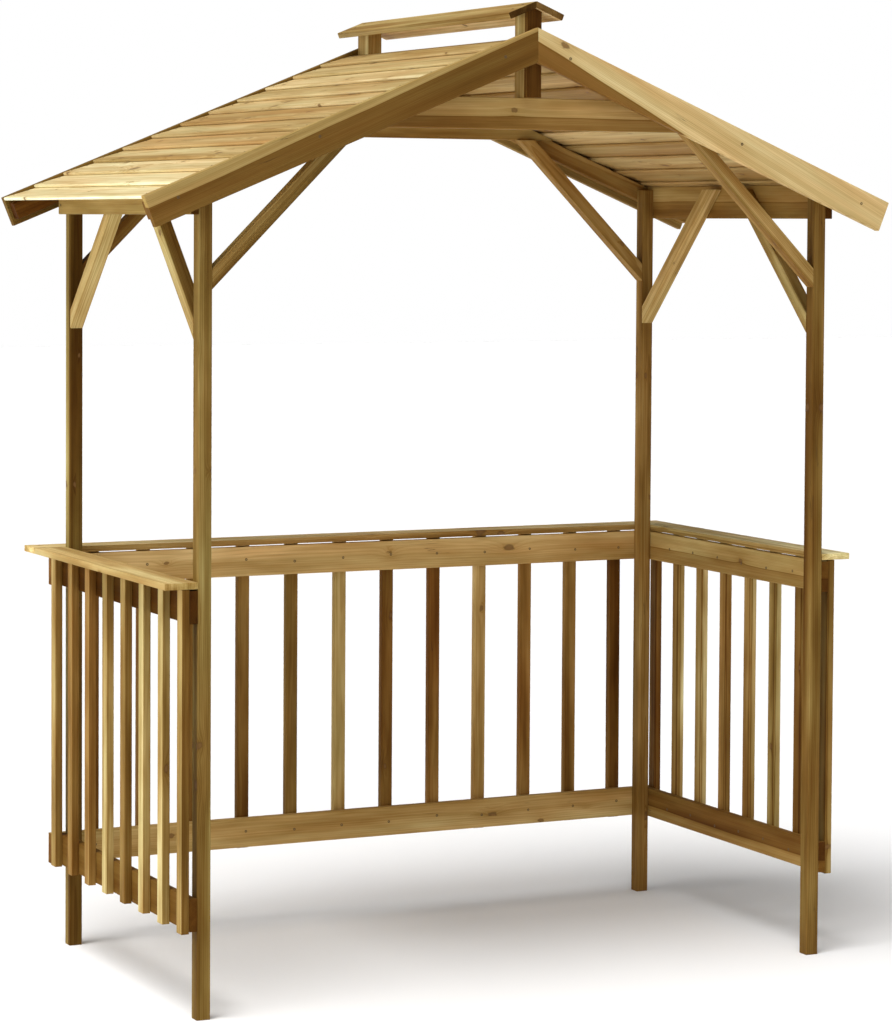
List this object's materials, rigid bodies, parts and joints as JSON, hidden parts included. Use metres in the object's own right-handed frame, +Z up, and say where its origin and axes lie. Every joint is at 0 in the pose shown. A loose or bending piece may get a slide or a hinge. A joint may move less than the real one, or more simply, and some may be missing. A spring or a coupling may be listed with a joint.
{
  "type": "barbecue shelter",
  "caption": "Open-sided timber barbecue shelter with an open front, slatted sides and back under serving shelves, and a lapped gable roof with a smoke slot below a raised ridge cap.",
  "frame": {"origin": "on the ground under the middle of the whole shelter's outline, between the four post feet", "axes": "+Z up; -Y out of the open front; +X to the right of someone facing the open front, along the shelter's width; the ridge runs along Y"},
  "size_m": [2.0808, 1.085, 2.4745],
  "materials": {
    "frame_timber": "planed pressure-treated pine, olive brown, unvarnished",
    "rail_wood": "planed pressure-treated pine board with light sapwood and brown heartwood, unvarnished",
    "baluster_wood": "planed pressure-treated pine slat, unvarnished",
    "shelf_wood": "planed pressure-treated pine board, light tan, unvarnished",
    "barge_wood": "planed pressure-treated pine board, tan with brown heartwood, unvarnished",
    "roof_wood": "lapped pressure-treated pine boards, pale yellow tan with knots, unvarnished",
    "cap_wood": "planed pressure-treated pine board, reddish tan, unvarnished",
    "screw_steel": "small countersunk zinc-plated steel screw heads, dull"
  },
  "bodies": {
    "root": {"post_front_left": "frame_timber", "post_front_right": "frame_timber", "post_back_left": "frame_timber", "post_back_right": "frame_timber", "eave_beam_left": "rail_wood", "eave_beam_right": "rail_wood", "top_rail_left": "rail_wood", "top_rail_right": "rail_wood", "top_rail_back": "rail_wood", "bottom_rail_left": "rail_wood", "bottom_rail_right": "rail_wood", "bottom_rail_back": "rail_wood", "balusters_left": "baluster_wood", "balusters_right": "baluster_wood", "balusters_back": "baluster_wood", "shelf_left": "shelf_wood", "shelf_right": "shelf_wood", "shelf_back": "shelf_wood", "barge_front_left": "barge_wood", "barge_front_right": "barge_wood", "barge_back_left": "barge_wood", "barge_back_right": "barge_wood", "rafter_front_left": "frame_timber", "rafter_front_right": "frame_timber", "rafter_back_left": "frame_timber", "rafter_back_right": "frame_timber", "collar_front": "rail_wood", "collar_back": "rail_wood", "king_front": "frame_timber", "king_back": "frame_timber", "gable_brace_front_left": "frame_timber", "gable_brace_front_right": "frame_timber", "gable_brace_back_left": "frame_timber", "gable_brace_back_right": "frame_timber", "side_brace_front_left": "frame_timber", "side_brace_front_right": "frame_timber", "side_brace_back_left": "frame_timber", "side_brace_back_right": "frame_timber", "roof_left": "roof_wood", "roof_right": "roof_wood", "cap_left": "cap_wood", "cap_right": "cap_wood"}
  },
  "joints": []
}
